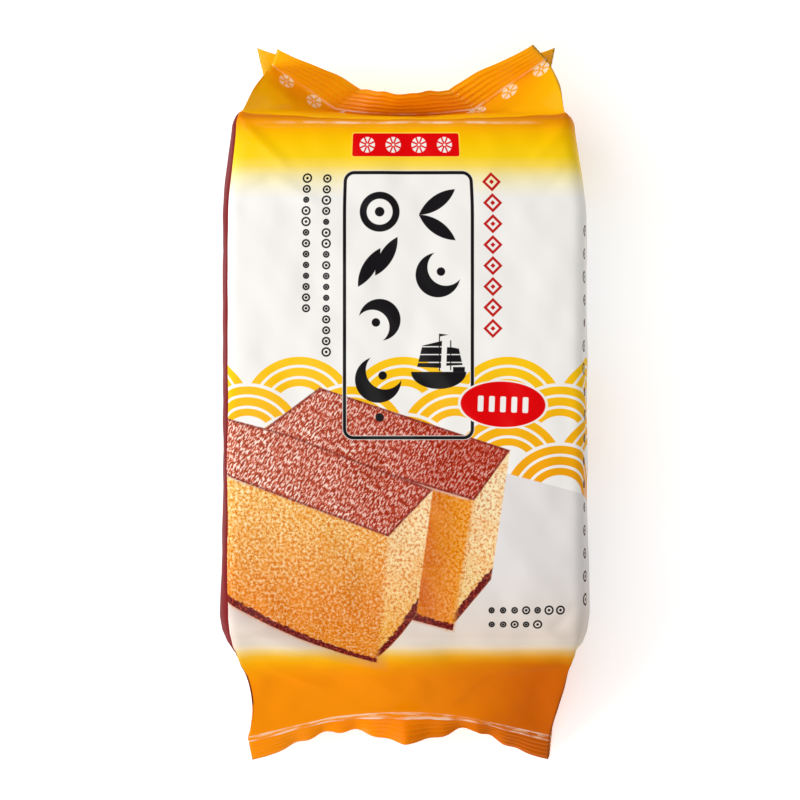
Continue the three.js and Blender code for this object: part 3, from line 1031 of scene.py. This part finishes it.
def front_print(pic, ink, colour):
    """What only the front panel and its ears carry."""
    colour = border(pic, ink, cakes(pic, ink, colour))
    beads = [pic.beads(*place, BEAD_WIDTH, pitch, upright) for *place, pitch, upright in BEAD_ROWS]
    colour = pic.paint(colour, ink.black, pic.smallest(*beads, large_marks(pic), boat(pic)))
    colour = pic.paint(colour, srgb(196, 30, 26), lozenges(pic))
    colour = top_bar(pic, ink, badge(pic, ink, colour))
    across = pic.repeated(pic.minus(pic.x, FLOWER_ROW[0]), ink.flower_pitch)
    place = pic.point(across, pic.minus(pic.y, FLOWER_ROW[1]))
    flowers = pic.rosette(place, ink.flower_radius)
    flowers = pic.largest(flowers, pic.minus(FLOWERS_FROM, pic.away(pic.x)))
    return pic.paint(colour, srgb(255, 246, 222), flowers)


def film_print(scene):
    """The whole print as a node group, from a place on the flat film to a colour."""
    ink, shape = scene.pack_print, scene.pack_shape
    tree = bpy.data.node_groups.new("film_print", "ShaderNodeTree")
    tree.interface.new_socket("Place", in_out="INPUT", socket_type="NodeSocketVector")
    tree.interface.new_socket("Colour", in_out="OUTPUT", socket_type="NodeSocketColor")
    half = shape.panel_width / 2
    around = 2 * (shape.panel_width + shape.thickness)
    seam = -half - OVER_LEFT
    pen = Pen(tree)
    x, y = pen.split(tree.nodes.new("NodeGroupInput").outputs[0])
    pic = Picture(tree, pen.point(pen.math("WRAP", x, around + seam, seam), y))

    colour = background(pic, ink)
    on_front = pic.math("LESS_THAN", pic.x, half + OVER_RIGHT)
    colour = pic.mix(on_front, colour, front_print(pic, ink, colour))
    side = SIDE_BEADS
    place = (half + side["under_edge"], side["y"])
    beads = pic.beads(place, side["length"], side["width"], side["pitch"], stroke=0.6)
    # Painted highlights along the crease and seals, and painted shade beyond the crease
    colour = painted_highlights_and_shade(pic, pic.paint(colour, srgb(84, 52, 50), beads))
    on_left = pic.math("GREATER_THAN", pic.x, half + shape.thickness + shape.panel_width)
    below_seal = pic.math("LESS_THAN", pic.y, shape.block_length / 2 + EARED_END["film"])
    on_left = pic.largest(pic.times(on_left, below_seal), pic.inside(pic.polygon(LIP), 0.2))
    colour = pic.mix(on_left, colour, ink.wine)
    tree.links.new(colour, tree.nodes.new("NodeGroupOutput").inputs[0])
    return tree


# ---------------------------------------------------------------- materials


def film_material(scene):
    """Printed film: glossy, duller on the side panels and shinier at the seals."""
    shape = scene.pack_shape
    material = bpy.data.materials.new("printed_film")
    material.use_nodes = True
    tree = material.node_tree
    shader = tree.nodes["Principled BSDF"]
    pen = Pen(tree)
    start = (MAP_START[0] - FRONT_MIDDLE, MAP_START[1], 0)
    place = pen.node("ShaderNodeUVMap", uv_map=FILM_MAP)
    place = pen.vector("MULTIPLY_ADD", place, (*MAP_SIZE, 0), start)
    printed = tree.nodes.new("ShaderNodeGroup")
    printed.node_tree = film_print(scene)
    tree.links.new(place, printed.inputs[0])
    # Fine puckers and the faint unevenness of thin film
    height = pen.noise(pen.vector("MULTIPLY", place, (1.0, 0.6, 1.0)), 9.0, 1.0, 0.4)
    bump = pen.node("ShaderNodeBump")
    for socket, value in (("Strength", 0.35), ("Distance", 0.0008)):
        bump.node.inputs[socket].default_value = value
    tree.links.new(height, bump.node.inputs["Height"])
    # Dull side panels: x runs on round the film, so the back's middle is a half turn away.
    x, y = pen.split(place)
    back_middle = shape.panel_width + shape.thickness
    from_middle = pen.math("MINIMUM", pen.away(x), pen.away(x, back_middle))
    dull = pen.ramp(from_middle, 45.5, 47.5, 0.0, 0.55)
    rough = pen.ramp(pen.noise(place, 9.0, 2.0), 0.3, 0.7, 0.18, 0.26)
    rough = pen.math("MAXIMUM", rough, dull)
    gloss = pen.ramp(y, -68, -76, 0.13, 0.03)
    for seal_start, seal, shine in ((100, 103, 0.35), (-114, -117, 0.12)):
        gloss = pen.plus(gloss, pen.ramp(y, seal_start, seal, 0.0, shine))
    finish = {"Base Color": printed.outputs[0], "Roughness": rough, "Coat Weight": gloss, "Normal": bump}
    for socket, output in finish.items():
        tree.links.new(output, shader.inputs[socket])
    shader.inputs["Coat Roughness"].default_value = 0.16
    shader.inputs["Specular IOR Level"].default_value = 0.0
    return material


# ---------------------------------------------------------------- operators


class PACK_OT_film(bpy.types.Operator):
    """Makes the printed film round the block, with its ears and crimped ends"""

    bl_idname = "pack.film"
    bl_label = "Film"

    def execute(self, context):
        film = Film(context.scene.pack_shape)
        piece = bpy.data.objects.new("pack_film", film_mesh(film))
        finish_piece(piece, film_material(context.scene))
        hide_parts("cake_pack")
        return {"FINISHED"}


CAMERA_OVER = (-0.0013, 0.0035)  # metres from the middle of the floor
CAMERA_LENS = 100.3
# Name, place and size in metres, and power in watts of each soft light
SOFTBOXES = (
    ("key_softbox", (-0.95, 0.5, 1.25), (1.0, 1.0), 7.7),
    ("top_softbox", (-0.3, -0.3, 1.5), (0.8, 0.8), 5.8),
    ("far_strip", (0.25, 1.4, 0.6), (1.4, 0.08), 4.5),
    ("near_softbox", (-1.2, -0.6, 0.6), (0.8, 0.5), 8.8),
    ("near_strip", (-0.2, -1.0, 1.1), (1.2, 0.03), 1.6),
    ("left_strip", (-1.2, 0.35, 0.5), (1.2, 0.05), 1.5),
)


class PACK_OT_stage(bpy.types.Operator):
    """Makes the floor, the lights and the camera"""

    bl_idname = "pack.stage"
    bl_label = "Stage"

    def execute(self, context):
        scene = context.scene
        stage = scene.pack_stage
        scene.view_settings.view_transform = "Standard"
        bm = bmesh.new()
        bmesh.ops.create_grid(bm, x_segments=1, y_segments=1, size=3)
        mesh = bpy.data.meshes.new("floor")
        bm.to_mesh(mesh)
        bm.free()
        floor = bpy.data.objects.new("floor", mesh)
        paint = bpy.data.materials.new("floor_paint")
        paint.use_nodes = True
        shader = paint.node_tree.nodes["Principled BSDF"]
        shader.inputs["Base Color"].default_value = (0.9, 0.9, 0.9, 1)
        shader.inputs["Roughness"].default_value = 0.8
        shader.inputs["Emission Color"].default_value = (1, 1, 1, 1)
        shader.inputs["Emission Strength"].default_value = 0.4
        mesh.materials.append(paint)
        scene.collection.objects.link(floor)
        camera = bpy.data.objects.new("camera", bpy.data.cameras.new("camera"))
        camera.location = (*CAMERA_OVER, stage.height)
        camera.data.lens = CAMERA_LENS
        scene.collection.objects.link(camera)
        scene.camera = camera
        world = bpy.data.worlds.new("studio")
        world.use_nodes = True
        surround = world.node_tree.nodes["Background"]
        surround.inputs["Strength"].default_value = stage.surround
        surround.inputs["Color"].default_value = (1, 1, 1, 1)
        scene.world = world
        for name, place, size, power in SOFTBOXES:
            light = bpy.data.lights.new(name, "AREA")
            light.shape, light.energy = "RECTANGLE", power
            light.size, light.size_y = size
            lamp = bpy.data.objects.new(name, light)
            lamp.location = place
            lamp.rotation_euler = (-Vector(place)).to_track_quat("-Z", "Y").to_euler()
            scene.collection.objects.link(lamp)
        return {"FINISHED"}


class PACK_PT_panel(bpy.types.Panel):
    """Lists the pack's operators and settings"""

    bl_label = "Cake pack"
    bl_idname = "PACK_PT_panel"
    bl_space_type = "VIEW_3D"
    bl_region_type = "UI"
    bl_category = "Cake pack"

    def draw(self, context):
        for group in (context.scene.pack_shape, context.scene.pack_print, context.scene.pack_stage):
            for name in group.__annotations__:
                self.layout.prop(group, name)
        for operator in OPERATORS:
            self.layout.operator(operator.bl_idname)


GROUPS = {"pack_shape": PackShape, "pack_print": PackPrint, "pack_stage": PackStage}
OPERATORS = (PACK_OT_film, PACK_OT_stage)
CLASSES = (*GROUPS.values(), *OPERATORS, PACK_PT_panel)


def register():
    for cls in CLASSES:
        bpy.utils.register_class(cls)
    for name, group in GROUPS.items():
        setattr(bpy.types.Scene, name, PointerProperty(type=group))


def unregister():
    for name in GROUPS:
        delattr(bpy.types.Scene, name)
    for cls in reversed(CLASSES):
        bpy.utils.unregister_class(cls)


def main():
    register()
    bpy.ops.pack.film()
    bpy.ops.pack.stage()


if __name__ == "__main__":
    main()
